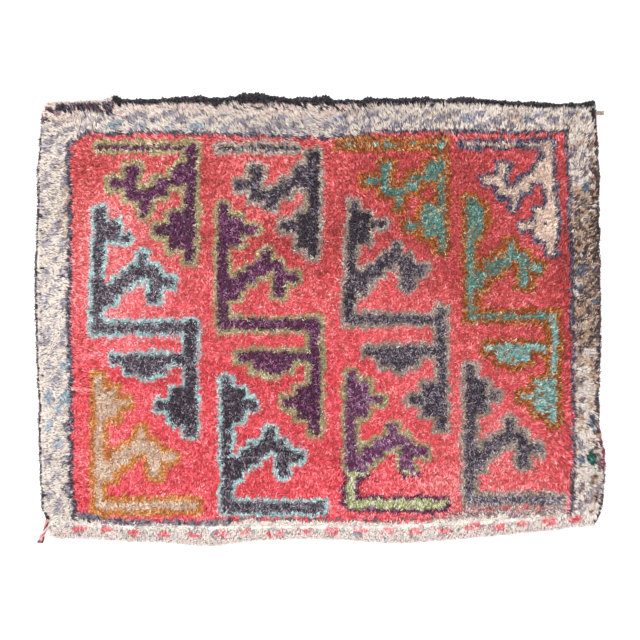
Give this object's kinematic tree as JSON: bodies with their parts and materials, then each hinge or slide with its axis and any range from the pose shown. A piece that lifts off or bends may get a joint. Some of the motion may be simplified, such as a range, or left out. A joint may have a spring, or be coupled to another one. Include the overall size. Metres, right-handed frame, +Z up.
{
  "type": "bergama rug",
  "caption": "Small knotted wool rug with a long coral pile, hooked geometric motifs in rows and dark overcast edges, lying flat.",
  "frame": {"origin": "on the floor under the middle of the rug's bounding box", "axes": "+X along the long side, +Y towards the edge with the thick cord, +Z up out of the pile"},
  "size_m": [1.1444, 0.904, 0.0176],
  "materials": {
    "wool_pile": "long knotted wool pile, matt",
    "dark_cord": "overcast dark wool",
    "plum_cord": "overcast plum and dark wool",
    "pink_yarn": "plied wool yarn",
    "beige_yarn": "plied wool yarn"
  },
  "bodies": {
    "root": {"rug": "wool_pile", "overcast_top": "dark_cord", "overcast_right": "plum_cord", "overcast_left": "dark_cord", "yarn_end_lower_left": "pink_yarn", "yarn_end_upper_right": "beige_yarn"}
  },
  "joints": []
}
